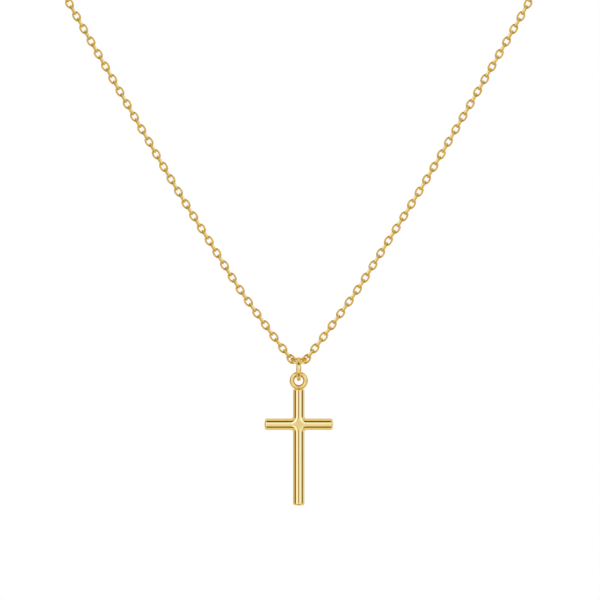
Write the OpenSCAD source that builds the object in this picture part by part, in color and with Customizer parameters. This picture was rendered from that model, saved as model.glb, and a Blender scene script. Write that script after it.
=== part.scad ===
// Fine cable chain necklace with a small cross of round gold rod, hung on a soldered eye and an oval-waisted jump ring.
// Millimetres, +Z up. The origin is the middle of the clasp at the nape, and the cross hangs in front, towards -Y.

/* [Cross] */
// Height of the upright rod, without the eye
upright_h = 20.35; // [16:0.05:32]
// Width across the crossbar
crossbar_w = 12; // [8:0.1:20]
// From the top of the upright down to the crossbar's middle line
crossbar_drop = 6.17; // [4:0.01:8]
// Diameter of the upright's and the crossbar's round rod
rod_d = 2; // [1.6:0.05:2.6]
// Radius of the four inner corners where the rods cross
corner_r = 0.35; // [0.15:0.05:0.8]
// Radius of the rounded rim at each rod end
rim_r = 0.4; // [0.15:0.05:0.7]
// Radius of the rounded rim at the upright's top, under the eye
top_rim_r = 0.2; // [0.1:0.05:0.5]
// Height of the shallow dome on each rod end
dome_h = 0.15; // [0.05:0.01:0.3]

/* [Eye] */
// Outer diameter of the eye soldered on the upright
eye_d = 3.21; // [2.6:0.01:3.8]
// Wire diameter of the eye
eye_wire = 0.8; // [0.5:0.01:0.9]
// How deep the eye's wire is soldered into the top of the upright
eye_sink = 0.2; // [0.05:0.01:0.3]
// Height of the cone of solder between the upright and the eye
solder_h = 0.4; // [0.2:0.05:0.6]

/* [Jump ring] */
// Outer diameter of the jump ring
jump_d = 4.21; // [3.9:0.01:5.2]
// Thickness of the jump ring's wire, seen along its axis
jump_wire = 0.68; // [0.5:0.01:0.75]
// Width of the wire at its fullest, halfway down the front and back
jump_full_w = 0.9; // [0.6:0.01:1]
// How far behind the ring's top it bears on the middle link, in degrees
jump_lean = 22; // [10:1:30]
// Gap between the ring and the link that carries it
jump_gap = 0.15; // [0.1:0.01:0.2]
// Gap between the eye and the ring that carries it
eye_gap = 0.11; // [0.05:0.01:0.15]

/* [Chain] */
// Outer length of a chain link
link_l = 1.99; // [1.85:0.01:2.4]
// Outer width of a chain link
link_w = 1.41; // [1.3:0.01:1.65]
// Wire diameter of a chain link
link_wire = 0.3; // [0.24:0.01:0.34]
// How far the edge-on links are turned towards the front, in degrees
link_turn = 11; // [0:1:20]
// Free play between one link and the next
link_gap = 0.13; // [0.1:0.01:0.2]
// Spacing of the links next to the middle link, where the chain lies slack
slack_step = 1.17; // [1.12:0.01:1.22]
// Number of linked-up links on each side of the middle link, before the plain stretch
side_links = 62; // [40:1:64]

/* [Middle link] */
// Outer length of the heavier link that carries the jump ring
middle_l = 2.83; // [2.75:0.01:3]
// Outer width of the middle link
middle_w = 1.86; // [1.8:0.01:2]
// Wire diameter of the middle link
middle_wire = 0.38; // [0.3:0.01:0.4]
// How far the middle link's front arm tips down, in degrees
middle_tilt = 28; // [25:1:34]
// How much higher the middle link's ends are pulled than its arms
middle_bend = 0.3; // [0.2:0.01:0.4]

/* [Clasp] */
// Outer diameter of the spring ring
clasp_d = 5.4; // [4.5:0.1:7]
// Tube diameter of the spring ring
clasp_tube = 1; // [0.7:0.05:1.3]
// Outer diameter of the clasp's small eye
clasp_eye_d = 2.1; // [1.9:0.05:2.6]
// Wire diameter of the clasp's small eye
clasp_eye_wire = 0.6; // [0.4:0.05:0.6]
// Length of the thumb catch on the spring ring
catch_l = 0.8; // [0.5:0.05:1.2]
// Outer diameter of the ring that the clasp hooks into
end_ring_d = 2.7; // [2.5:0.05:3.2]
// Wire diameter of the ring that the clasp hooks into
end_ring_wire = 0.5; // [0.4:0.05:0.6]

/* [Hidden] */
$fn = 64;

// Middle line of the chain's right half, from the link beside the middle link to the nape, seen from the middle link.
// The first nine points are the hanging V, and the rest goes round the neck.
ROUTE = [
    [1.34, 0, 0.4], [3.3, 0, 2.9], [5.6, 0, 6], [10.25, 0, 12.5], [14.3, 0, 18.9],
    [21, 0, 29.6], [27.4, 0, 40.5], [33.7, 0, 51.4], [39.6, 0, 61.7], [44.5, 1, 70.9],
    [50, 6, 81.3], [54.5, 17, 91.8], [57, 33, 99.8], [56, 51, 105], [50, 68, 108],
    [39, 82, 110], [24, 91.5, 111], [8, 95.5, 111], [0, 96, 111]
];
nape = ROUTE[len(ROUTE) - 1];

// Steps along each stretch between two route points
ROUTE_STEPS = 10;
// Sides of an oval link and of its wire
LINK_SIDES = 10;
LINK_WIRE_SIDES = 5;
// Sides of the middle link and of its wire
MIDDLE_SIDES = 18;
MIDDLE_WIRE_SIDES = 8;
// Sides of the jump ring and of its wire
JUMP_SIDES = 32;
JUMP_WIRE_SIDES = 12;
// Sides and rings of the plain stretch
BACK_SIDES = 8;
BACK_RINGS = 40;
// Steps of the rounded rim and of the dome in a rod's end
RIM_STEPS = 6;
DOME_STEPS = 3;
// Half the stretch over which the chain's direction is taken
AIM = 0.3;

rod_r = rod_d / 2;
crossing_r = rod_r + corner_r;
eye_wire_r = eye_wire / 2;
eye_r = eye_d / 2 - eye_wire_r;
jump_wire_r = jump_wire / 2;
jump_r = jump_d / 2 - jump_wire_r;
link_pitch = link_l - 2 * link_wire - link_gap;
middle_arm = middle_w / 2 - middle_wire / 2;

// Middle of the front arm of the middle link, where the jump ring hangs and swings
arm_at = -middle_arm * [0, cos(middle_tilt), sin(middle_tilt)];
// The ring's centre lies in front of that arm and below it
jump_reach = jump_r - jump_wire_r - middle_wire / 2 - jump_gap;
jump_at = arm_at - jump_reach * [0, sin(jump_lean), cos(jump_lean)];
// The eye's wire lies in the ring plumb under the arm, so that the cross hangs straight
eye_reach = jump_r - jump_wire_r - eye_wire_r - eye_gap;
eye_lean = asin(jump_reach * sin(jump_lean) / eye_reach);
eye_top = jump_at + eye_reach * [0, sin(eye_lean), -cos(eye_lean)];
eye_at = eye_top - [0, 0, eye_r];
// The ring's wire in the plane of the eye, about which the cross swings from side to side
pivot_at = [0, eye_at[1], jump_at[2] - sqrt(pow(jump_r, 2) - pow(eye_at[1] - jump_at[1], 2))];
upright_top = eye_at[2] - eye_r - eye_wire_r + eye_sink;
crossing_at = [0, eye_at[1], upright_top - crossbar_drop];

clasp_r = clasp_d / 2 - clasp_tube / 2;
clasp_eye_r = clasp_eye_d / 2 - clasp_eye_wire / 2;
clasp_eye_x = -(clasp_r + clasp_tube / 2 + clasp_eye_r - clasp_eye_wire / 6);
end_ring_r = end_ring_d / 2 - end_ring_wire / 2;
end_ring_x = clasp_r - clasp_tube / 2 - end_ring_wire / 2 - link_gap + end_ring_r;
// Where the plain stretch ends on each side of the clasp
back_end_right = end_ring_x + end_ring_d / 2 + link_gap;
back_end_left = clasp_eye_d / 2 - clasp_eye_x + link_gap;

function unit(v) = v / norm(v);

// Catmull-Rom curve through four neighbouring points, at the share t of the stretch from b to c
function blend(a, b, c, d, t) =
    0.5 * (2 * b + (c - a) * t + (2 * a - 5 * b + 4 * c - d) * pow(t, 2) + (3 * b - a - 3 * c + d) * pow(t, 3));

// The route with one more point before its start, and after its end the mirror of its last point but one
function framed(points) = let (n = len(points)) concat(
    [2 * points[0] - points[1]],
    points,
    [[-points[n - 2][0], points[n - 2][1], points[n - 2][2]]]
);

function smooth(p) = [
    for (i = [1 : len(p) - 3], step = [0 : ROUTE_STEPS - 1])
        blend(p[i - 1], p[i], p[i + 1], p[i + 2], step / ROUTE_STEPS),
    p[len(p) - 2]
];

line = smooth(framed(ROUTE));
// Length of the line up to each of its points
lengths = [for (i = 0, d = 0; i < len(line); i = i + 1, d = i < len(line) ? d + norm(line[i] - line[i - 1]) : d) d];
half_length = lengths[len(lengths) - 1];

function stretch(s) = min(len(line) - 2, len([for (d = lengths) if (d <= s) 1]) - 1);

// Point at the length s along the line, and beyond its ends straight on
function spot(s) = let (
        i = max(0, stretch(s)),
        t = (s - lengths[i]) / (lengths[i + 1] - lengths[i])
    ) line[i] + (line[i + 1] - line[i]) * t;

function aim(s) = unit(spot(s + AIM) - spot(s - AIM));

// Depth direction at the length s: straight back where the chain hangs flat, and square to the chain elsewhere
function depth(s) = let (along = aim(s), back = [0, 1, 0]) unit(back - (back * along) * along);

// Length at which link k of one side has its middle
function link_s(k) = slack_step * min(k, 2) + link_pitch * max(0, k - 2);

function sided(v, side) = [v[0] * side, v[1], v[2]];

// Corner i of an oval's middle line, with a flat across each end
function oval(i, sides, a, b) = let (t = 360 * (i + 0.5) / sides) [a * cos(t) / cos(180 / sides), b * sin(t), 0];

// Step from corner i out to the wire's surface, stretched so that the wire keeps its width round the corner
function mitre(i, sides, a, b) = let (
        before = unit(oval(i, sides, a, b) - oval(i - 1, sides, a, b)),
        after = unit(oval(i + 1, sides, a, b) - oval(i, sides, a, b)),
        out = [before[1], -before[0], 0],
        middle = unit(out + [after[1], -after[0], 0])
    ) middle / (middle * out);

// Corners of an oval link of outer length l and width w at a place, lying along one direction and across another.
// Its ends are pulled up by bend.
function link_corners(place, along, across, l, w, wire, sides, wire_sides, bend) = let (
        a = l / 2 - wire / 2,
        b = w / 2 - wire / 2,
        up = cross(along, across)
    ) [
    for (i = [0 : sides - 1], j = [0 : wire_sides - 1]) let (
        turn = 360 * j / wire_sides,
        middle = oval(i, sides, a, b),
        p = middle + mitre(i, sides, a, b) * wire / 2 * cos(turn) + [0, 0, wire / 2 * sin(turn)]
    ) place + along * p[0] + across * p[1] + up * p[2] + [0, 0, bend * pow(middle[0] / a, 2)]
];

// Faces of a closed ring of round wire whose corners start at a given number
function ring_faces(start, sides, wire_sides) = [
    for (i = [0 : sides - 1], j = [0 : wire_sides - 1]) let (
        next = (i + 1) % sides,
        over = (j + 1) % wire_sides
    ) [
        start + i * wire_sides + j, start + i * wire_sides + over,
        start + next * wire_sides + over, start + next * wire_sides + j
    ]
];

function turned_over(faces) = [for (f = faces) [for (i = [len(f) - 1 : -1 : 0]) f[i]]];

// Every second link is turned a quarter round the chain, the first one facing the front
function side_link(k, side) = let (
        s = link_s(k),
        back = depth(s),
        level = cross(back, aim(s)),
        across = k % 2 == 0 ? level : back * cos(link_turn) + level * sin(link_turn)
    ) [for (p = link_corners(spot(s), aim(s), across, link_l, link_w, link_wire,
                             LINK_SIDES, LINK_WIRE_SIDES, 0)) sided(p, side)];

// Outline of a rod's round end with a given rim, from its axis to its side, with the crown at height 0
function end_outline(rim) = let (
        ball = (pow(rod_r, 2) + pow(dome_h, 2)) / (2 * dome_h),
        x = rod_r - rim,
        z = sqrt(pow(ball - rim, 2) - pow(x, 2)) - ball,
        meet = asin(x / (ball - rim))
    ) concat(
    [for (i = [0 : DOME_STEPS - 1]) let (t = meet * i / DOME_STEPS) [ball * sin(t), ball * cos(t) - ball]],
    [for (i = [0 : RIM_STEPS]) let (t = meet + (90 - meet) * i / RIM_STEPS) [x + rim * sin(t), z + rim * cos(t)]]
);

// One arm of the cross, from the crossing up to a crown at the distance reach from the crossing's middle
module arm(reach, rim) {
    rotate_extrude()
        polygon(concat([[0, crossing_r]], [for (p = end_outline(rim)) [p[0], p[1] + reach]], [[rod_r, crossing_r]]));
}

// Inner half of a bend of the same rod, which rounds one corner between two arms
module corner() {
    translate([crossing_r, 0, crossing_r])
        rotate([90, 0, 0])
        rotate([0, 0, 180])
        rotate_extrude(angle = 90)
        intersection() {
            translate([crossing_r, 0]) circle(r = rod_r);
            translate([0, -rod_r]) square([crossing_r, rod_d]);
        }
}

// The flat star left between the four corners
module crossing_star() {
    rotate([90, 0, 0])
        linear_extrude(rod_d, center = true)
        difference() {
            square(2 * crossing_r, center = true);
            for (turn = [0 : 90 : 270])
                rotate(turn) translate([crossing_r, crossing_r]) circle(r = crossing_r);
        }
}

// A ring of round wire whose hole faces the front
module upright_ring(r, wire) {
    rotate([90, 0, 0]) rotate_extrude() translate([r, 0]) circle(d = wire);
}

module cross_piece() {
    color("gold")
        translate(-nape)
        union() {
            translate(crossing_at) {
                for (turn = [0 : 90 : 270]) rotate([0, turn, 0]) corner();
                crossing_star();
                arm(crossbar_drop, top_rim_r);
                for (turn = [90, 270]) rotate([0, turn, 0]) arm(crossbar_w / 2, rim_r);
                rotate([0, 180, 0]) arm(upright_h - crossbar_drop, rim_r);
                translate([0, 0, crossbar_drop - dome_h])
                    cylinder(h = solder_h, r1 = rod_r - top_rim_r / 2, r2 = eye_wire_r);
            }
            translate(eye_at) upright_ring(eye_r, eye_wire);
        }
}

// The wire is round at top and bottom, and widens sideways to a full belly in front and behind
module jump_ring() {
    corners = [
        for (i = [0 : JUMP_SIDES - 1], j = [0 : JUMP_WIRE_SIDES - 1]) let (
            turn = 360 * i / JUMP_SIDES,
            round_wire = 360 * j / JUMP_WIRE_SIDES,
            out = [0, cos(turn), sin(turn)],
            half_w = jump_wire_r + (jump_full_w / 2 - jump_wire_r) * pow(cos(turn), 2)
        ) jump_at + out * (jump_r + jump_wire_r * cos(round_wire)) + [half_w * sin(round_wire), 0, 0]
    ];
    color("gold")
        translate(-nape)
        polyhedron(corners, ring_faces(0, JUMP_SIDES, JUMP_WIRE_SIDES));
}

module middle_link() {
    corners = link_corners([0, 0, 0], [1, 0, 0], [0, cos(middle_tilt), sin(middle_tilt)],
                           middle_l, middle_w, middle_wire, MIDDLE_SIDES, MIDDLE_WIRE_SIDES, middle_bend);
    color("goldenrod")
        translate(-nape)
        polyhedron(corners, ring_faces(0, MIDDLE_SIDES, MIDDLE_WIRE_SIDES));
}

// All the links that hang in front, as loose closed rings that pass through one another
module chain_front() {
    ring_corners = LINK_SIDES * LINK_WIRE_SIDES;
    corners = [for (side = [1, -1], k = [0 : side_links - 1]) each side_link(k, side)];
    faces = [
        for (side = [0, 1], k = [0 : side_links - 1]) let (
            start = (side * side_links + k) * ring_corners,
            ring = ring_faces(start, LINK_SIDES, LINK_WIRE_SIDES)
        ) each (side == 0 ? ring : turned_over(ring))
    ];
    color("goldenrod") translate(-nape) polyhedron(corners, faces);
}

// One side of the plain stretch round the neck, as wide as the links, up to a distance short of the nape
module back_side(side, short_of) {
    from = link_s(side_links - 1) + link_l / 2 + link_gap;
    to = half_length - short_of;
    corners = [
        for (i = [0 : BACK_RINGS - 1], j = [0 : BACK_SIDES - 1]) let (
            s = from + (to - from) * i / (BACK_RINGS - 1),
            turn = 360 * j / BACK_SIDES,
            back = depth(s),
            level = cross(back, aim(s))
        ) sided(spot(s) + link_w / 2 * (level * cos(turn) + back * sin(turn)), side)
    ];
    last = (BACK_RINGS - 1) * BACK_SIDES;
    walls = [
        for (i = [0 : BACK_RINGS - 2], j = [0 : BACK_SIDES - 1]) let (
            over = (j + 1) % BACK_SIDES
        ) [
            i * BACK_SIDES + j, i * BACK_SIDES + over,
            (i + 1) * BACK_SIDES + over, (i + 1) * BACK_SIDES + j
        ]
    ];
    caps = [[for (j = [BACK_SIDES - 1 : -1 : 0]) j], [for (j = [0 : BACK_SIDES - 1]) last + j]];
    faces = concat(walls, caps);
    polyhedron(corners, side > 0 ? turned_over(faces) : faces);
}

module chain_back() {
    color("goldenrod")
        translate(-nape) {
            back_side(1, back_end_right);
            back_side(-1, back_end_left);
        }
}

// A plain spring ring with its small eye and thumb catch, lying flat on the nape
module clasp() {
    color("gold")
        union() {
            upright_ring(clasp_r, clasp_tube);
            translate([clasp_eye_x, 0, 0]) upright_ring(clasp_eye_r, clasp_eye_wire);
            translate([0, 0, clasp_r]) cylinder(d = clasp_tube / 2, h = clasp_tube / 2 + catch_l);
        }
}

// The round ring at the chain's right end, which the clasp hooks into
module end_ring() {
    color("gold")
        translate([end_ring_x, 0, 0])
        rotate_extrude()
        translate([end_ring_r, 0])
        circle(d = end_ring_wire);
}

cross_piece();  // cross
jump_ring();
middle_link();
chain_front();
chain_back();
clasp();
end_ring();
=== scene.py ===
import bpy
import numpy as np
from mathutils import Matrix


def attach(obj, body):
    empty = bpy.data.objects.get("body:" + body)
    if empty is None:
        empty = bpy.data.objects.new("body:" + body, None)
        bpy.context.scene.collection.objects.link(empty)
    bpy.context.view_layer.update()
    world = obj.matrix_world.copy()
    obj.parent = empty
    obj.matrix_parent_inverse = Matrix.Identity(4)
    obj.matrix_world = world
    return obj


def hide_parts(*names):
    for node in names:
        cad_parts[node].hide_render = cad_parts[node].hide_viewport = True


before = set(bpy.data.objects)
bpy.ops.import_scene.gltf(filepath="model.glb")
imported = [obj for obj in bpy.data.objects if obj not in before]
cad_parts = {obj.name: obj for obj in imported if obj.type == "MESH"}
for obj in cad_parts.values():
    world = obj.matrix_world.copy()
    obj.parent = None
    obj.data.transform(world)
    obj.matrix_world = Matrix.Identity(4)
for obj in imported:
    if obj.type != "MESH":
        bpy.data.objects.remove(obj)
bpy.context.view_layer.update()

# The front of the chain: 124 closed ovals of fine gold wire, wound on a mandrel, cut, linked up and soldered.
# Each stands about a quarter turn round from the next. Drawing the chain through a die leaves six soft flats
# along each wire, and its rims, outside and inside, are painted paler than the rest as a highlight.
MM = 0.001
RIGHT, BACK, UP = np.eye(3)
LINK_LENGTH, LINK_WIDTH, LINK_WIRE = 2.0, 1.43, 0.34
LINK_SIDES, WIRE_FLATS = 12, 6
LINK_TURN = np.radians(12)
PITCH, SLACK_PITCH, SLACK_LINKS = 1.26, 1.17, 2
FRONT_LINKS = 62
# Where the painted highlight on the links' rims starts and where it is full, by the cosine round the wire.
RIM_HIGHLIGHT_FROM, RIM_HIGHLIGHT_FULL = 0.3, 0.85
# The route of the chain's right half in millimetres, from beside the middle link up and round to the nape.
# Right and left are as seen from the front.
NAPE = np.array([0.0, 96.0, 111.0])
ROUTE = np.array([
    (1.34, 0, 0.4), (3.3, 0, 2.9), (5.6, 0, 6), (10.25, 0, 12.5), (14.3, 0, 18.9),
    (21, 0, 29.6), (27.4, 0, 40.5), (33.7, 0, 51.4), (39.6, 0, 61.7), (44.5, 1, 70.9),
    (50, 6, 81.3), (54.5, 17, 91.8), (57, 33, 99.8), (56, 51, 105), (50, 68, 108),
    (39, 82, 110), (24, 91.5, 111), (8, 95.5, 111), (0, 96, 111),
])


def unit(v):
    """Each vector divided by its own length."""
    return v / np.linalg.norm(v, axis=-1, keepdims=True)


def full_turn(count, start=0.0):
    """The angles of a full turn in equal steps, from the share start of a step on."""
    return 2 * np.pi * (np.arange(count) + start) / count


def neck_line(points, steps=10):
    """A Catmull-Rom curve through the points: on each stretch a cubic in the share t of the way, whose slope
    at a point is half the step between that point's two neighbours. Returns the curve's points and the
    length up to each of them."""
    before = 2 * points[0] - points[1]
    mirrored = points[-2] * (-1, 1, 1)
    p = np.vstack([before, points, mirrored])
    a, b, c, d = (p[i:len(p) - 3 + i, None] for i in range(4))
    t = (np.arange(steps) / steps)[None, :, None]
    curved = (2 * a - 5 * b + 4 * c - d) * t**2 + (3 * b - a - 3 * c + d) * t**3
    line = 0.5 * (2 * b + (c - a) * t + curved)
    line = np.vstack([line.reshape(-1, 3), points[-1]])
    line = np.vstack([2 * line[0] - line[1], line, 2 * line[-1] - line[-2]])
    steps_long = np.linalg.norm(np.diff(line, axis=0), axis=1)
    return line, np.concatenate([[0], np.cumsum(steps_long)]) - steps_long[0]


def spot(s):
    """The points of the neck line at the lengths s, in millimetres from the first link."""
    return np.stack([np.interp(s, lengths, line[:, axis]) for axis in range(3)], axis=-1)


def link_frames(s, edge_on, side, reach=0.3):
    """Centre, long direction and wide direction of the links at the lengths s. The long direction is that of
    the line between the reach before and after. The wide one is level with the front, or almost straight back
    for the links that are edge-on."""
    along = unit(spot(s + reach) - spot(s - reach))
    depth = unit(BACK - (along @ BACK)[:, None] * along)
    level = np.cross(depth, along)
    turned = depth * np.cos(LINK_TURN) + level * np.sin(LINK_TURN)
    across = np.where(edge_on[:, None], turned, level)
    mirror = np.array([side, 1, 1])
    return (spot(s) - NAPE) * mirror, along * mirror, across * mirror


def oval_links(centre, along, across, length, width, wire, sides, wire_sides):
    """Wire carried round an ellipse: a point is the ellipse's point plus the wire's radius times (cos v times
    the ellipse's outward normal + sin v times the plane's normal), where the corners' v starts half a step
    from outward. Returns a grid of sides x wire_sides points for each link, and the outward and the plane's
    normals."""
    a, b = (length - wire) / 2, (width - wire) / 2
    u, v = full_turn(sides, 0.5), full_turn(wire_sides, 0.5)
    along, across = along[:, None], across[:, None]
    up = np.cross(along, across) * np.ones((sides, 1))
    ring = centre[:, None] + along * (a * np.cos(u))[:, None] + across * (b * np.sin(u))[:, None]
    out = unit(along * (b * np.cos(u))[:, None] + across * (a * np.sin(u))[:, None])
    spokes = out[:, :, None] * np.cos(v)[:, None] + up[:, :, None] * np.sin(v)[:, None]
    return ring[:, :, None] + wire / 2 / np.cos(np.pi / wire_sides) * spokes, out, up


def chain_links(s, edge_on, side):
    """The chain's own links at the lengths s, on the right side, or mirrored to the left."""
    frames = link_frames(s, edge_on, side)
    return oval_links(*frames, LINK_LENGTH, LINK_WIDTH, LINK_WIRE, LINK_SIDES, WIRE_FLATS)


def grid_cells(grid, close_rows=True, close_columns=True):
    """Four-cornered faces of a grid of points, or of several alike, numbered row by row. A closed direction
    joins its last row or column to its first."""
    rows, columns = grid.shape[-3:-1]
    first_rows = np.arange(rows - (not close_rows))
    first_columns = np.arange(columns - (not close_columns))
    i, j = np.meshgrid(first_rows, first_columns, indexing="ij")
    next_i, next_j = (i + 1) % rows, (j + 1) % columns
    corners = [i * columns + j, next_i * columns + j, next_i * columns + next_j, i * columns + next_j]
    one = np.stack(corners, axis=-1).reshape(-1, 4)
    starts = np.arange(0, grid.size // 3, rows * columns)
    return (one + starts[:, None, None]).reshape(-1, 4)


def soft_flats(grid, out, up, softness=0.5):
    """Faces of linked ovals and the normals at their corners: each strip of the wire has its own flat's
    normal, with a share of the round wire's normal, which points from the wire's middle to the corner."""
    faces = grid_cells(grid)
    wire_sides = grid.shape[2]
    ring = faces // wire_sides
    v = (2 * np.pi * (faces[:, :1] % wire_sides + 1) / wire_sides)[..., None]
    flat = out.reshape(-1, 3)[ring] * np.cos(v) + up.reshape(-1, 3)[ring] * np.sin(v)
    spokes = unit(grid - grid.mean(axis=2, keepdims=True)).reshape(-1, 3)[faces]
    return faces, unit((1 - softness) * flat + softness * spokes)


def piece(name, points, faces, normals, material, body, slot, *nodes):
    """A mesh from points in millimetres, shaded with the surface's true normals, that rides on a body and
    stands for CAD nodes. The slot is not used. Normals are given for each point, or for each face's corners."""
    points = points.reshape(-1, 3)
    if normals.shape != (*faces.shape, 3):
        normals = normals.reshape(-1, 3)[faces]
    corners = points[faces]
    facing = np.cross(corners[:, 1] - corners[:, 0], corners[:, -1] - corners[:, 0])
    inward = (facing * normals.sum(axis=1)).sum(axis=1) < 0
    forwards = np.arange(faces.shape[1])
    order = np.where(inward[:, None], -forwards % len(forwards), forwards)
    faces = np.take_along_axis(faces, order, axis=1)
    normals = np.take_along_axis(normals, order[..., None], axis=1)
    mesh = bpy.data.meshes.new(name)
    mesh.from_pydata((points * MM).tolist(), [], faces.tolist())
    mesh.polygons.foreach_set("use_smooth", np.ones(len(faces), dtype=bool))
    mesh.normals_split_custom_set(normals.reshape(-1, 3).tolist())
    mesh.materials.append(material)
    obj = bpy.data.objects.new(name, mesh)
    bpy.context.scene.collection.objects.link(obj)
    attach(obj, body)
    if nodes:
        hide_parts(*nodes)
    return obj


def rise(value, start, full):
    """How far a value has come on its way from the start, as 0, to where it is full, as 1."""
    return (value - start) / (full - start)


def paint_light_shares(obj, shares):
    """Gives a mesh's points their shares of the second shade of gold, which paints highlight and shade. The
    shares repeat for all the points.
    """
    values = obj.data.attributes.new("painted_highlight_and_shade", "FLOAT", "POINT").data
    values.foreach_set("value", np.resize(shares, len(values)))


def rims(wire_sides):
    """How far each point round a link's wire lies towards its outer or inner rim, by the size of the cosine
    of the point's turn round the wire: its share of the painted highlight on the rims."""
    return rise(np.abs(np.cos(full_turn(wire_sides, 0.5))), RIM_HIGHLIGHT_FROM, RIM_HIGHLIGHT_FULL)


def link_piece(name, halves, node):
    """One mesh of the links of both halves, with soft flats and a painted highlight on the rims, which
    stands for a CAD node.
    """
    links = [np.concatenate(parts) for parts in zip(*halves)]
    obj = piece(name, links[0], *soft_flats(*links), chain_gold, "chain", "chain_gold", node)
    paint_light_shares(obj, rims(WIRE_FLATS))


def set_inputs(node, inputs):
    """Sets a node's inputs to plain values, or links them to sockets. A node stands for its first output."""
    for key, value in inputs.items():
        if isinstance(value, bpy.types.Node):
            value = value.outputs[0]
        if isinstance(value, bpy.types.NodeSocket):
            node.id_data.links.new(value, node.inputs[key])
        else:
            node.inputs[key].default_value = value


def nodes_of(tree):
    """A function that adds a node to the tree with its inputs and its own settings."""
    def add(kind, inputs=None, **settings):
        node = tree.nodes.new(kind)
        for key, value in settings.items():
            setattr(node, key, value)
        set_inputs(node, inputs or {})
        return node
    return add


def polish_group(wave_length=1.4, hairs_per_mm=9, hazes_per_mm=0.9, wave_share=0.5, hair_share=0.02):
    """Marks of the polishing wheel and of wear: slow waves left by the wheel, whose length is in millimetres,
    fine hairlines ten times as long as wide, and a hazy roughness that comes and goes."""
    tree = bpy.data.node_groups.new("polish_marks", "ShaderNodeTree")
    for name in ("Smoothest", "Roughest"):
        tree.interface.new_socket(name, in_out="INPUT", socket_type="NodeSocketFloat")
    for name in ("Height", "Roughness", "Tarnish"):
        tree.interface.new_socket(name, in_out="OUTPUT", socket_type="NodeSocketFloat")
    add = nodes_of(tree)
    limits = add("NodeGroupInput").outputs
    place = add("ShaderNodeTexCoord").outputs["Object"]
    waves = add("ShaderNodeTexNoise", {"Vector": place, "Scale": 1 / (wave_length * MM), "Detail": 1.0})
    hair_scale = hairs_per_mm / MM * np.array([1, 1, 0.1])
    combed = add("ShaderNodeMapping", {"Vector": place, "Rotation": (0.3, 0.2, 0.6), "Scale": hair_scale})
    hairs = add("ShaderNodeTexNoise", {"Vector": combed, "Scale": 1.0, "Detail": 2.0})
    haze = add("ShaderNodeTexNoise", {"Vector": place, "Scale": hazes_per_mm / MM, "Detail": 3.0})
    tall = add("ShaderNodeMath", {0: waves, 1: wave_share}, operation="MULTIPLY")
    height = add("ShaderNodeMath", {0: hairs, 1: hair_share, 2: tall}, operation="MULTIPLY_ADD")
    rough = add("ShaderNodeMapRange", {"Value": haze, "From Min": 0.35, "From Max": 0.65,
                                       "To Min": limits["Smoothest"], "To Max": limits["Roughest"]})
    add("NodeGroupOutput", {"Height": height, "Roughness": rough, "Tarnish": haze})
    return tree


def gold(name, colour, deep, second, smoothest, roughest, bump_height=0.002):
    """Polished gold: a metal whose colour sinks a little to a deeper gold where the surface is hazy. A second
    shade takes over by the share given to the piece's points: painted highlight on the links' rims, painted
    shade at the jump ring's bottom, the eye's foot and the crossing. Bump heights are millimetres."""
    material = bpy.data.materials.new(name)
    material.use_nodes = True
    add = nodes_of(material.node_tree)
    limits = {"Smoothest": smoothest, "Roughest": roughest}
    marks = add("ShaderNodeGroup", limits, node_tree=polish_marks).outputs
    hazy = add("ShaderNodeMixRGB", {0: marks["Tarnish"], 1: (*colour, 1), 2: (*deep, 1)})
    painted_share = add("ShaderNodeAttribute", attribute_name="painted_highlight_and_shade").outputs["Fac"]
    share = add("ShaderNodeClamp", {"Value": painted_share})
    tint = add("ShaderNodeMixRGB", {0: share, 1: hazy, 2: (*second, 1)})
    bump = add("ShaderNodeBump", {"Height": marks["Height"], "Strength": 1.0, "Distance": bump_height * MM})
    set_inputs(material.node_tree.nodes["Principled BSDF"], {
        "Base Color": tint, "Roughness": marks["Roughness"], "Normal": bump, "Metallic": 1.0})
    return material


line, lengths = neck_line(ROUTE)
half_length = lengths[-2]
polish_marks = polish_group()
# The chain gold's second shade, a pale gold, is a painted highlight on the links' rims.
chain_gold = gold("chain_gold", colour=(0.82, 0.54, 0.12), deep=(0.74, 0.45, 0.08), second=(1, 0.84, 0.36),
                  smoothest=0.28, roughest=0.36)
number = np.arange(FRONT_LINKS)
front_s = SLACK_PITCH * np.minimum(number, SLACK_LINKS) + PITCH * np.maximum(0, number - SLACK_LINKS)
link_piece("front_links", [chain_links(front_s, number % 2 == 1, side) for side in (1, -1)], "chain_front")

# The back of the chain: the same links, which go on over the shoulders and round the nape to the clasp. The
# last ones hook into the end ring and the clasp's eye. They take the room of the CAD model's plain tubes.
END_RING_X, END_RING_R, END_RING_WIRE = 2.42, 1.1, 0.5
CLASP_EYE_X, CLASP_EYE_R, CLASP_EYE_WIRE = -3.35, 0.75, 0.6
HOOK_GAP = 0.05
halves = []
for side, ring_x, ring_r, ring_wire, last_edge_on in (
        (1, END_RING_X, END_RING_R, END_RING_WIRE, False),
        (-1, CLASP_EYE_X, CLASP_EYE_R, CLASP_EYE_WIRE, True)):
    hook_x = side * ring_x + ring_r - ring_wire / 2 + LINK_LENGTH / 2 - LINK_WIRE - HOOK_GAP
    last_s = half_length - hook_x
    steps = int(round((last_s - front_s[-1]) / PITCH))
    # One step more where the last link would stand the wrong way round.
    steps += (FRONT_LINKS - 1 + steps) % 2 != last_edge_on
    back_s = np.linspace(front_s[-1], last_s, steps + 1)[1:]
    number = FRONT_LINKS + np.arange(steps)
    halves.append(chain_links(back_s, number % 2 == 1, side))
link_piece("back_links", halves, "chain_back")

# The middle link: a longer oval of heavier gold wire that the jump ring hangs in. It is pulled into a shallow
# saddle, with its ends up towards both sides of the chain. The pendant's weight tips its front arm down.
MIDDLE_LENGTH, MIDDLE_WIDTH, MIDDLE_WIRE = 2.91, 1.94, 0.46
MIDDLE_SIDES, MIDDLE_WIRE_SIDES = 64, 18
MIDDLE_TILT, MIDDLE_BEND = np.radians(28), 0.3


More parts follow.
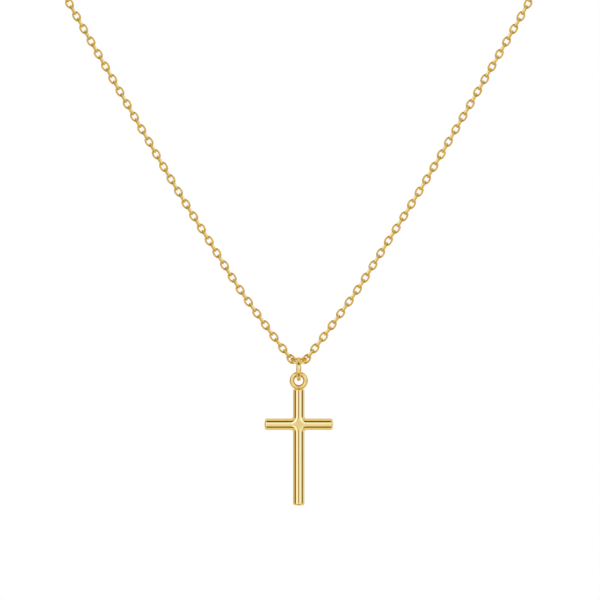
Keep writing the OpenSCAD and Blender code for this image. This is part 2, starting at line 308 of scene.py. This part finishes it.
def surface_normals(grid):
    """Normals of a grid that is closed both ways: the cross product of its two central differences, pointing
    away from the middle of each row."""
    rows = np.roll(grid, -1, axis=0) - np.roll(grid, 1, axis=0)
    columns = np.roll(grid, -1, axis=1) - np.roll(grid, 1, axis=1)
    normals = unit(np.cross(rows, columns))
    away = grid - grid.mean(axis=1, keepdims=True)
    return normals * np.sign((normals * away).sum(axis=2, keepdims=True))


tilted = np.cos(MIDDLE_TILT) * BACK + np.sin(MIDDLE_TILT) * UP
ovals, _, _ = oval_links(-NAPE[None], RIGHT[None], tilted[None], MIDDLE_LENGTH, MIDDLE_WIDTH, MIDDLE_WIRE,
                         MIDDLE_SIDES, MIDDLE_WIRE_SIDES)
grid = ovals[0]
half_long = (MIDDLE_LENGTH - MIDDLE_WIRE) / 2
wire_x = grid.mean(axis=1)[:, :1]
grid[..., 2] += MIDDLE_BEND * (wire_x / half_long)**2
middle_link = piece("middle_link_wire", grid, grid_cells(grid), surface_normals(grid), chain_gold,
                    "chain", "chain_gold", "middle_link")
# The middle link's rims take the same painted highlight.
paint_light_shares(middle_link, rims(MIDDLE_WIRE_SIDES))

# The jump ring: a ring of thick gold wire, closed round the middle link and the eye and soldered shut at the
# bottom, where a deeper gold is painted on as shade. Its wire is round at top and bottom and widens to a
# belly in front and behind.
JUMP_R, JUMP_WIRE, JUMP_FULL = 1.765, 0.68, 0.9
JUMP_SIDES, JUMP_WIRE_SIDES = 128, 40
JUMP_LEAN, JUMP_GAP = np.radians(22), 0.11
BOTTOM_SHADE_FROM, BOTTOM_SHADE_FULL = 0.8, 0.95
# The ring gold's second shade, a deep orange gold, is painted shade at the jump ring's bottom and the eye's
# foot.
ring_gold = gold("ring_gold", colour=(0.94, 0.75, 0.37), deep=(0.9, 0.69, 0.3), second=(0.9, 0.54, 0.1),
                 smoothest=0.2, roughest=0.27)
arm_at = -(MIDDLE_WIDTH - MIDDLE_WIRE) / 2 * tilted
jump_reach = JUMP_R - JUMP_WIRE / 2 - MIDDLE_WIRE / 2 - JUMP_GAP
jump_at = arm_at - jump_reach * (np.sin(JUMP_LEAN) * BACK + np.cos(JUMP_LEAN) * UP)
u = full_turn(JUMP_SIDES)[:, None, None]
v = full_turn(JUMP_WIRE_SIDES)[None, :, None]
radial = np.cos(u) * BACK + np.sin(u) * UP
half_width = JUMP_WIRE / 2 + (JUMP_FULL - JUMP_WIRE) / 2 * np.cos(u)**2
ring = radial * (JUMP_R + JUMP_WIRE / 2 * np.cos(v)) + RIGHT * half_width * np.sin(v)
grid = jump_at - NAPE + ring
jump_ring = piece("jump_ring_wire", grid, grid_cells(grid), surface_normals(grid), ring_gold,
                  "ring", "polished_gold", "jump_ring")
# Painted shade: the jump ring's bottom turns to the deep second shade.
bottom_shade = np.clip(rise(-np.sin(u), BOTTOM_SHADE_FROM, BOTTOM_SHADE_FULL), 0, 1)
paint_light_shares(jump_ring, bottom_shade.repeat(JUMP_WIRE_SIDES))

# The cross: two lengths of round gold rod cast as one and polished, with rounded rims and domed ends. At the
# crossing the front and back are flat between four rounded corners, with a darker gold painted in the middle
# as shade. The eye is soldered on top, and the solder has run up its foot. The eye's foot is painted a deeper
# gold as shade.
ROD_R, CORNER_R, RIM_R, TOP_RIM_R, DOME = 1.01, 0.35, 0.4, 0.2, 0.15
UPRIGHT, CROSSBAR, DROP = 20.35, 12.0, 6.17
EYE_R, EYE_WIRE, EYE_SINK, EYE_GAP, SOLDER = 1.18, 0.85, 0.2, 0.06, 0.4
CROSSING_R = ROD_R + CORNER_R
# Where the painted shade at the eye's foot starts and is full: low on the eye and near its middle.
FOOT_SHADE_LOW, FOOT_SHADE_LOW_FULL = 0.5, 0.8
FOOT_SHADE_WIDE, FOOT_SHADE_WIDE_FULL = 0.56, 0.16
AROUND, BEND_STEPS, FILLET_STEPS = 96, 25, 13
# The polished gold's second shade, a duller gold, is painted shade in the middle of the crossing.
polished_gold = gold("polished_gold", colour=(0.98, 0.82, 0.49), deep=(0.96, 0.79, 0.44),
                     second=(0.9, 0.71, 0.38), smoothest=0.03, roughest=0.06)
eye_reach = JUMP_R - JUMP_WIRE / 2 - EYE_WIRE / 2 - EYE_GAP
eye_lean = np.arcsin(jump_reach * np.sin(JUMP_LEAN) / eye_reach)
eye_at = jump_at + eye_reach * (np.sin(eye_lean) * BACK - np.cos(eye_lean) * UP) - EYE_R * UP
crossing_at = eye_at - (EYE_R + EYE_WIRE / 2 - EYE_SINK + DROP) * UP


def rod_end(reach, rim_r, side_steps=8, rim_steps=17, cap_steps=13):
    """Outline of an arm from the crossing to its crown as distance from the axis, height and slope: straight
    side, a quarter-round rim, and a shallow dome that the rim runs into smoothly."""
    ball = (ROD_R**2 + DOME**2) / (2 * DOME)
    meet = np.arcsin((ROD_R - rim_r) / (ball - rim_r))
    rim_top = reach + np.sqrt((ball - rim_r)**2 - (ROD_R - rim_r)**2) - ball
    side = np.linspace(CROSSING_R, rim_top, side_steps, endpoint=False)
    rim = np.linspace(np.pi / 2, meet, rim_steps)
    cap = np.linspace(meet, 0, cap_steps)[1:]
    radius = np.concatenate([0 * side + ROD_R, ROD_R - rim_r + rim_r * np.sin(rim), ball * np.sin(cap)])
    height = np.concatenate([side, rim_top + rim_r * np.cos(rim), reach - ball + ball * np.cos(cap)])
    slope = np.concatenate([0 * side + np.pi / 2, rim, cap])
    return radius, height, slope


def spun(outline, direction, around=AROUND):
    """The surface of an outline spun round an axis. Its normals lean from the axis by the outline's slope."""
    radius, height, slope = (part[:, None, None] for part in outline)
    turn = full_turn(around)[None, :, None]
    sideways = np.cross(BACK, direction)
    round_about = np.cos(turn) * sideways + np.sin(turn) * np.cross(direction, sideways)
    points = radius * round_about + height * direction
    normals = np.sin(slope) * round_about + np.cos(slope) * direction
    return points, grid_cells(points, close_rows=False), normals


def corner(first, second):
    """The inner half of a bend of the rod between two arms: a half circle that makes a quarter turn about the
    corner's centre."""
    bend = np.linspace(0, np.pi / 2, BEND_STEPS)[:, None, None]
    turn = np.linspace(-np.pi / 2, np.pi / 2, AROUND // 2 + 1)[None, :, None]
    inward = -(np.cos(bend) * first + np.sin(bend) * second)
    normals = -np.cos(turn) * inward + np.sin(turn) * BACK
    points = CROSSING_R * (first + second + inward) + ROD_R * normals
    return points, grid_cells(points, False, False), normals


def star(face, first, second, rings=5):
    """One quarter of the flat star: rings that shrink from the corner's arc to the middle of the crossing."""
    bend = np.linspace(0, np.pi / 2, BEND_STEPS)[None, :, None]
    share = np.linspace(1, 0, rings)[:, None, None]
    inward = -(np.cos(bend) * first + np.sin(bend) * second)
    points = share * CROSSING_R * (first + second + inward) + face * ROD_R * BACK
    return points, grid_cells(points, False, False), np.broadcast_to(face * BACK, points.shape)


def welded(*parts):
    """The parts as one mesh of triangles: points closer than a hundred-thousandth of a millimetre become one,
    each face is cut in two, and triangles that shrink to nothing are dropped."""
    starts = np.cumsum([0] + [p.size // 3 for p, _, _ in parts])
    points = np.concatenate([p.reshape(-1, 3) for p, _, _ in parts])
    normals = np.concatenate([n.reshape(-1, 3) for _, _, n in parts])
    cells = np.concatenate([f + start for (_, f, _), start in zip(parts, starts)])
    _, first, same = np.unique(np.round(points, 5), axis=0, return_index=True, return_inverse=True)
    faces = same.reshape(-1)[np.concatenate([cells[:, [0, 1, 2]], cells[:, [0, 2, 3]]])]
    whole = (faces[:, 0] != faces[:, 1]) & (faces[:, 1] != faces[:, 2]) & (faces[:, 2] != faces[:, 0])
    return points[first], faces[whole], normals[first]


arms = ((UP, DROP, TOP_RIM_R), (RIGHT, CROSSBAR / 2, RIM_R),
        (-UP, UPRIGHT - DROP, RIM_R), (-RIGHT, CROSSBAR / 2, RIM_R))
parts = [spun(rod_end(reach, rim_r), direction) for direction, reach, rim_r in arms]
for (first, _, _), (second, _, _) in zip(arms, arms[1:] + arms[:1]):
    parts += [corner(first, second), star(1, first, second), star(-1, first, second)]
points, faces, normals = welded(*parts)
cross = piece("cross_rods", points + crossing_at - NAPE, faces, normals, polished_gold,
              "pendant", "polished_gold", "cross")
# Painted shade: the flats of the crossing darken towards its middle.
on_flat = np.isclose(np.abs(points[:, 1]), ROD_R)
paint_light_shares(cross, on_flat * (1 - np.hypot(points[:, 0], points[:, 2]) / CROSSING_R))


def upright_ring(centre, ring_r, wire, sides=64, wire_sides=20):
    """A torus whose hole faces the front."""
    u = full_turn(sides)[:, None, None]
    v = full_turn(wire_sides)[None, :, None]
    radial = np.cos(u) * RIGHT + np.sin(u) * UP
    normals = np.cos(v) * radial + np.sin(v) * BACK
    points = centre + ring_r * radial + wire / 2 * normals
    return points, grid_cells(points), normals


points, faces, normals = upright_ring(eye_at - NAPE, EYE_R, EYE_WIRE, sides=96, wire_sides=32)
eye = piece("cross_eye", points, faces, normals, ring_gold, "pendant", "polished_gold")
# Painted shade: the eye's bottom middle, where it meets the rod, takes the ring gold's deep second shade.
off_middle, _, height = (points - (eye_at - NAPE)).reshape(-1, 3).T
low = np.clip(rise(-height, FOOT_SHADE_LOW, FOOT_SHADE_LOW_FULL), 0, 1)
near = np.clip(rise(np.abs(off_middle), FOOT_SHADE_WIDE, FOOT_SHADE_WIDE_FULL), 0, 1)
paint_light_shares(eye, low * near)
t = np.linspace(0, np.pi / 2, FILLET_STEPS)
foot, neck = ROD_R - TOP_RIM_R / 2, EYE_WIRE / 2
fillet = (foot - (foot - neck) * np.sin(t),
          DROP - DOME + SOLDER * (1 - np.cos(t)),
          np.arctan2(SOLDER * np.sin(t), (foot - neck) * np.cos(t)))
points, faces, normals = welded(spun(fillet, UP))
piece("cross_solder", points + crossing_at - NAPE, faces, normals, ring_gold, "pendant", "polished_gold")

# The clasp: a plain spring ring of gold tube with a small eye soldered on, which holds the last link of the
# left side. A tongue of round wire closes its mouth, and the thumb catch fixed to it draws it back.
CLASP_R, CLASP_TUBE, TONGUE_WIRE = 2.2, 1.0, 0.62
TUBE_FROM, TUBE_TO = np.radians(74), np.radians(372)
TONGUE_FROM, TONGUE_TO = np.radians(4), np.radians(84)
CATCH, KNOB_R, STEM_R, KNOB_STEPS = 0.8, 0.25, 0.16, 15


def bent_rod(ring_r, wire, first, last, rim_r, steps=80, around=32, rim_steps=7):
    """Round wire bent to part of a ring that faces the front, from one angle to another: flat ends with a
    quarter-round rim. Rows run along the wire. A row's points lie at its size round the wire's middle."""
    rim = np.linspace(0, np.pi / 2, rim_steps)
    reach = np.concatenate([[0], rim_r * (1 - np.cos(rim))]) / ring_r
    size = np.concatenate([[0], wire / 2 - rim_r + rim_r * np.sin(rim)])
    lean = np.concatenate([[0], rim])
    middle = np.linspace(first + rim_r / ring_r, last - rim_r / ring_r, steps)[1:-1]
    angle = np.concatenate([first + reach, middle, last - reach[::-1]])[:, None, None]
    size = np.concatenate([size, 0 * middle + wire / 2, size[::-1]])[:, None, None]
    lean = np.concatenate([lean, 0 * middle + np.pi / 2, np.pi - lean[::-1]])[:, None, None]
    turn = full_turn(around)[None, :, None]
    radial = np.cos(angle) * RIGHT + np.sin(angle) * UP
    tangent = -np.sin(angle) * RIGHT + np.cos(angle) * UP
    spokes = np.cos(turn) * radial + np.sin(turn) * BACK
    points = ring_r * radial + size * spokes
    normals = np.sin(lean) * spokes - np.cos(lean) * tangent
    return points, grid_cells(points, close_rows=False), normals


points, faces, normals = welded(bent_rod(CLASP_R, CLASP_TUBE, TUBE_FROM, TUBE_TO, rim_r=0.1))
piece("clasp_ring", points, faces, normals, polished_gold, "chain", "polished_gold", "clasp")
tongue = bent_rod(CLASP_R, TONGUE_WIRE, TONGUE_FROM, TONGUE_TO, rim_r=0.05, steps=24, around=20)
points, faces, normals = welded(tongue)
piece("clasp_tongue", points, faces, normals, polished_gold, "chain", "polished_gold")
points, faces, normals = upright_ring(CLASP_EYE_X * RIGHT, CLASP_EYE_R, CLASP_EYE_WIRE)
piece("clasp_eye", points, faces, normals, polished_gold, "chain", "polished_gold")
t = np.linspace(np.pi - np.arcsin(STEM_R / KNOB_R), 0, KNOB_STEPS)
knob_z = CLASP_R + CLASP_TUBE / 2 + CATCH - KNOB_R
catch = (np.concatenate([[STEM_R, STEM_R], KNOB_R * np.sin(t)]),
         np.concatenate([[CLASP_R, knob_z - KNOB_R], knob_z + KNOB_R * np.cos(t)]),
         np.concatenate([[np.pi / 2, np.pi / 2], t]))
points, faces, normals = welded(spun(catch, UP, around=24))
piece("clasp_catch", points, faces, normals, polished_gold, "chain", "polished_gold")

# The end ring: a round ring of gold wire, closed round the last link of the right side. It lies level, so
# that the spring ring can hook into it.
points, faces, normals = upright_ring(0 * UP, END_RING_R, END_RING_WIRE)
points, normals = points[..., [0, 2, 1]] + END_RING_X * RIGHT, normals[..., [0, 2, 1]]
piece("end_ring_wire", points, faces, normals, polished_gold, "chain", "polished_gold", "end_ring")

# The pale floor, well below the hanging pendant. It is a wide disc of matt board and takes the soft shadow.
FLOOR_AT, FLOOR_R, FLOOR_SIDES = (0, -0.05, -0.26), 0.9, 128
turn = full_turn(FLOOR_SIDES)[:, None]
edge = FLOOR_AT + FLOOR_R * (np.cos(turn) * RIGHT + np.sin(turn) * BACK)
board = bpy.data.meshes.new("floor")
board.from_pydata(edge.tolist(), [], [list(range(FLOOR_SIDES))])
floor = bpy.data.objects.new("floor", board)
bpy.context.scene.collection.objects.link(floor)
matt = bpy.data.materials.new("pale_board")
matt.use_nodes = True
add = nodes_of(matt.node_tree)
place = add("ShaderNodeTexCoord").outputs["Object"]
grain = add("ShaderNodeTexNoise", {"Vector": place, "Scale": 900.0})
tone = add("ShaderNodeMapRange", {"Value": grain, "To Min": 0.86, "To Max": 0.9})
set_inputs(matt.node_tree.nodes["Principled BSDF"], {"Base Color": tone, "Roughness": 0.8})
board.materials.append(matt)
floor.visible_glossy = False

# The light: a white tent round the necklace with a broad bright panel in front. Dark cards stand at the
# panel's sides, top and bottom, and a small dark slit for the lens lies by its middle. The sky gives each
# direction its brightness. Only the gold mirrors the tent; the floor and the backdrop are plainly lit.
LEFT_CARD, RIGHT_CARD = (0.18, 0.1, 0.02), (0.12, 0.06, 0.01)
TOP_CARD, LOW_CARD = (0.03, 0.01, 0), (0.31, 0.22, 0.07)
LENS_SLIT, WHOLE, DARKER = (0.17, 0.06, 0), (1, 1, 1), (0.25, 0.2, 0.1)
BRIGHTEST = (1.25, 1.2, 1.3, 1)
world = bpy.data.worlds.new("light_tent")
bpy.context.scene.world = world
world.use_nodes = True
add = nodes_of(world.node_tree)


def maths(operation, a, b):
    """One step of arithmetic with two values."""
    return add("ShaderNodeMath", {0: a, 1: b}, operation=operation)


def mix(below, colour, cover=1.0, blend_type="MIX"):
    """A colour laid over another by its cover, multiplied with it, or kept where it is the darker one."""
    return add("ShaderNodeMixRGB", {0: cover, 1: below, 2: colour}, blend_type=blend_type)


def ramp(value, stops, end=180):
    """Colour and cover by a value from -1 to 1, from one stop to the next. The stops' places run from -end to
    end: these are degrees for the angles, whose values count in half turns."""
    share = add("ShaderNodeMath", {0: value, 1: 0.5, 2: 0.5}, operation="MULTIPLY_ADD")
    node = add("ShaderNodeValToRGB", {"Fac": share})
    elements = node.color_ramp.elements
    while len(elements) < len(stops):
        elements.new(0.5)
    for element, (place, colour, cover) in zip(elements, stops):
        element.position = place / (2 * end) + 0.5
        element.color = (*colour, cover)
    return node.outputs


def band(colour, starts, full, thins, ends):
    """The four stops of a strip of one colour, from where it starts to where it ends."""
    return (starts, colour, 0), (full, colour, 1), (thins, colour, 1), (ends, colour, 0)


toward = add("ShaderNodeSeparateXYZ", {0: add("ShaderNodeTexCoord").outputs["Generated"]}).outputs
front = maths("MULTIPLY", toward["Y"], -1.0)
sideways = maths("DIVIDE", maths("ARCTAN2", toward["X"], front), np.pi)
upward = maths("DIVIDE", maths("ARCTAN2", toward["Z"], front), np.pi)

behind = ramp(front, (
    (-1, (1, 0.97, 0.85), 1), (-0.86, (1, 0.96, 0.8), 1), (-0.76, (0.62, 0.5, 0.28), 1),
    (-0.55, (0.62, 0.5, 0.28), 1), (-0.42, (0.9, 0.82, 0.56), 1), (-0.3, (0.9, 0.8, 0.5), 1),
    (-0.05, (0.84, 0.71, 0.36), 1), (0.22, (0.84, 0.71, 0.34), 1), (0.36, (0.6, 0.45, 0.2), 1),
    (1, (0.6, 0.45, 0.2), 1),
), end=1)
walls = ramp(toward["X"], (
    (-1, (0.78, 0.74, 0.74), 1), (-0.88, (0.78, 0.74, 0.74), 1), (-0.72, WHOLE, 1),
    (0.75, WHOLE, 1), (0.95, (1.04, 1.07, 1.12), 1), (1, (1.04, 1.07, 1.12), 1),
), end=1)
tent = mix(behind["Color"], walls["Color"], blend_type="MULTIPLY")

across = ramp(sideways, (
    (-94, (0.9, 0.86, 0.7), 0), (-84, (1, 0.98, 0.85), 1), (-54, (0.98, 1, 0.94), 1),
    (-38, (1.05, 1.08, 1.08), 1), (-18, (1.1, 1.18, 1.32), 1), (-8, (0.98, 0.98, 0.92), 1),
    (0, (0.83, 0.8, 0.65), 1), (12, (0.74, 0.76, 0.76), 1), (28, (0.89, 0.94, 1), 1),
    (44, (0.98, 1.02, 1.04), 1), (56, (0.92, 0.88, 0.66), 1), (84, (0.95, 0.9, 0.7), 1),
    (94, (0.9, 0.86, 0.6), 0),
))
along = ramp(upward, (
    (-90, (0.9, 0.82, 0.6), 0), (-80, (0.9, 0.85, 0.65), 1), (-34, (1.05, 1.02, 0.84), 1),
    (-6, (1.08, 1.06, 0.93), 1), (0, (1.08, 1.06, 1), 1), (10, (1.22, 1.3, 1.4), 1),
    (20, (1.24, 1.32, 1.42), 1), (34, (1.04, 1.08, 1.1), 1), (60, (0.98, 1, 0.98), 1),
    (70, (0.9, 0.85, 0.6), 1), (80, (0.9, 0.8, 0.4), 0),
))
panel = mix(mix(across["Color"], along["Color"], blend_type="MULTIPLY"), BRIGHTEST, blend_type="DARKEN")
in_front = add("ShaderNodeMapRange", {"Value": front, "From Min": 0.5, "From Max": 0.6})
tent = mix(tent, panel, maths("MULTIPLY", in_front, maths("MULTIPLY", across["Alpha"], along["Alpha"])))

card_ends = ((-42, DARKER, 0), (-38, DARKER, 1), (-28, DARKER, 1), (-22, WHOLE, 1),
             (22, WHOLE, 1), (28, DARKER, 1), (38, DARKER, 1), (42, DARKER, 0))
side_cards = band(LEFT_CARD, -88, -84, -58.5, -55) + band(RIGHT_CARD, 60.5, 63.5, 92, 95)
level_cards = band(LOW_CARD, -84, -78, -46, -37) + band(TOP_CARD, 40, 42, 64.5, 66.5)
for strip, reach in (
        (ramp(sideways, side_cards), ramp(upward, card_ends)),
        (ramp(upward, level_cards), ramp(sideways, card_ends)),
        (ramp(sideways, band(LENS_SLIT, -17.5, -15.5, -3, -1)), ramp(upward, band(WHOLE, -7, -5, 3, 5)))):
    card = mix(strip["Color"], reach["Color"], blend_type="MULTIPLY")
    tent = mix(tent, card, maths("MULTIPLY", strip["Alpha"], reach["Alpha"]))
tent_light = add("ShaderNodeBackground", {"Color": tent, "Strength": 1.0})
plain_white = add("ShaderNodeBackground", {"Color": (1, 1, 1, 1), "Strength": 1.0})
mirrored = add("ShaderNodeLightPath").outputs["Is Glossy Ray"]
mixed = add("ShaderNodeMixShader", {0: mirrored, 1: plain_white, 2: tent_light})
set_inputs(world.node_tree.nodes["World Output"], {"Surface": mixed})
bpy.context.scene.view_settings.view_transform = "Standard"

# The camera looks straight at the front, level, with a long lens from a metre away.
VIEW_CENTRE, VIEW_WIDTH, VIEW_DISTANCE = np.array([0.000214, -0.096, -0.100358]), 0.1044, 1.0
SENSOR_WIDTH = 36
lens = bpy.data.cameras.new("camera")
lens.sensor_width = SENSOR_WIDTH
lens.lens = SENSOR_WIDTH * VIEW_DISTANCE / VIEW_WIDTH
lens.clip_start = 0.01
camera = bpy.data.objects.new("camera", lens)
camera.location = VIEW_CENTRE - VIEW_DISTANCE * BACK
camera.rotation_euler = (np.pi / 2, 0, 0)
bpy.context.scene.collection.objects.link(camera)
bpy.context.scene.camera = camera
